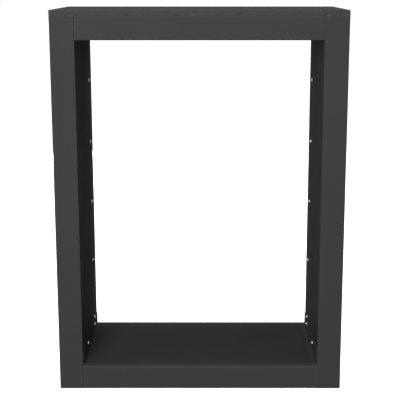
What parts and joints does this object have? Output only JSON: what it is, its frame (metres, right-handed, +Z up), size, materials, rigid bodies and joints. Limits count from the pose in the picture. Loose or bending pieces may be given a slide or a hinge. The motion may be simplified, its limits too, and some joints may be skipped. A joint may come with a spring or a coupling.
{
  "type": "firewood log rack",
  "caption": "Upright open steel frame for stacking firewood, with hollow side walls, a raised deck, a top beam and a flat lid, screwed together from folded sheet.",
  "frame": {"origin": "on the floor, at the centre of the footprint", "axes": "+Z up, the tallest way; +X to the right seen from the front; +Y towards the back, the shallowest way, with the front face at -Y"},
  "size_m": [0.6, 0.28, 0.8],
  "materials": {
    "powder_coat": "fine-textured anthracite powder coat, satin to matt",
    "zinc_screws": "bright zinc plate, satin",
    "zinc_nuts": "zinc plate, dull"
  },
  "bodies": {
    "root": {"left_wall_shell": "powder_coat", "right_wall_shell": "powder_coat", "left_rear_channel": "powder_coat", "right_rear_channel": "powder_coat", "left_base_cap": "powder_coat", "right_base_cap": "powder_coat", "left_top_cap": "powder_coat", "right_top_cap": "powder_coat", "deck_tray": "powder_coat", "top_beam": "powder_coat", "top_lid": "powder_coat", "front_deck_stiffener": "powder_coat", "rear_deck_stiffener": "powder_coat", "left_wall_screws": "zinc_screws", "right_wall_screws": "zinc_screws", "left_deck_screws": "zinc_screws", "right_deck_screws": "zinc_screws", "left_beam_screws": "zinc_screws", "right_beam_screws": "zinc_screws", "left_wall_nuts": "zinc_nuts", "right_wall_nuts": "zinc_nuts", "left_deck_nuts": "zinc_nuts", "right_deck_nuts": "zinc_nuts", "left_beam_nuts": "zinc_nuts", "right_beam_nuts": "zinc_nuts", "lid_studs": "zinc_nuts", "lid_nuts": "zinc_nuts"}
  },
  "joints": []
}
